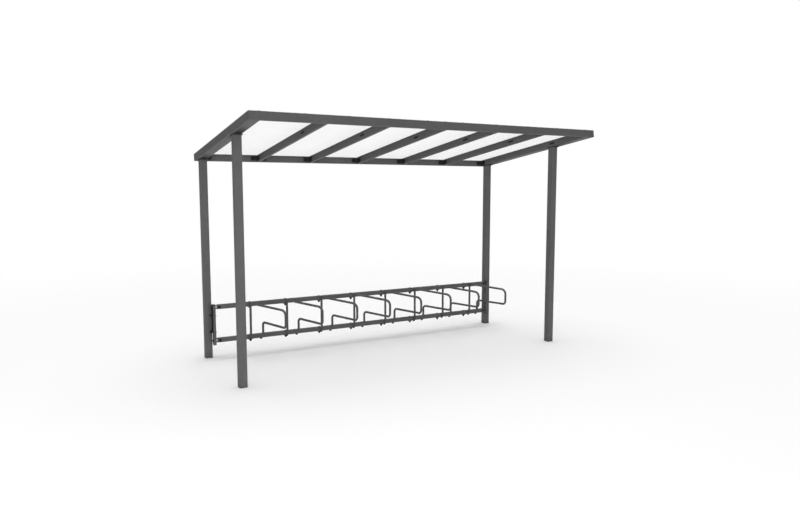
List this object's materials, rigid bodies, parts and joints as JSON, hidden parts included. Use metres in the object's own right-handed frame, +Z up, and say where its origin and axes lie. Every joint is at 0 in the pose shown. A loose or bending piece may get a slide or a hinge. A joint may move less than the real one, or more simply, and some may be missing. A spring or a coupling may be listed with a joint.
{
  "type": "bike shelter",
  "caption": "Open bike shelter with square posts, a sloping clear roof on rafters, and a rack of bent wheel holders between the rear posts.",
  "frame": {"origin": "on the ground under the centre of the roof", "axes": "+X along the shelter to the right as seen from the front, +Y to the rear, +Z up"},
  "size_m": [4.13, 2.0652, 2.631],
  "materials": {
    "coated_steel": "matte dark grey powder coat",
    "clear_roofing": "clear sheet"
  },
  "bodies": {
    "root": {"bottom_rail": "coated_steel", "front_cleats": "coated_steel", "front_edge_beam": "coated_steel", "left_edge_beam": "coated_steel", "left_side_rail": "coated_steel", "post_front_left": "coated_steel", "post_front_right": "coated_steel", "post_rear_left": "coated_steel", "post_rear_right": "coated_steel", "rack_bracket_left": "coated_steel", "rack_bracket_right": "coated_steel", "rack_end_bar_left": "coated_steel", "rack_end_bar_right": "coated_steel", "rafter_1": "coated_steel", "rafter_2": "coated_steel", "rafter_3": "coated_steel", "rafter_4": "coated_steel", "rafter_5": "coated_steel", "rail_spigots_left": "coated_steel", "rail_spigots_right": "coated_steel", "rear_cleats": "coated_steel", "rear_edge_beam": "coated_steel", "right_edge_beam": "coated_steel", "right_side_rail": "coated_steel", "roof_sheet_left": "clear_roofing", "roof_sheet_right": "clear_roofing", "top_plate_front_left": "coated_steel", "top_plate_front_right": "coated_steel", "top_plate_rear_left": "coated_steel", "top_plate_rear_right": "coated_steel", "top_rail": "coated_steel", "wheel_holder_1": "coated_steel", "wheel_holder_2": "coated_steel", "wheel_holder_3": "coated_steel", "wheel_holder_4": "coated_steel", "wheel_holder_5": "coated_steel", "wheel_holder_6": "coated_steel", "wheel_holder_7": "coated_steel", "wheel_holder_8": "coated_steel"}
  },
  "joints": []
}
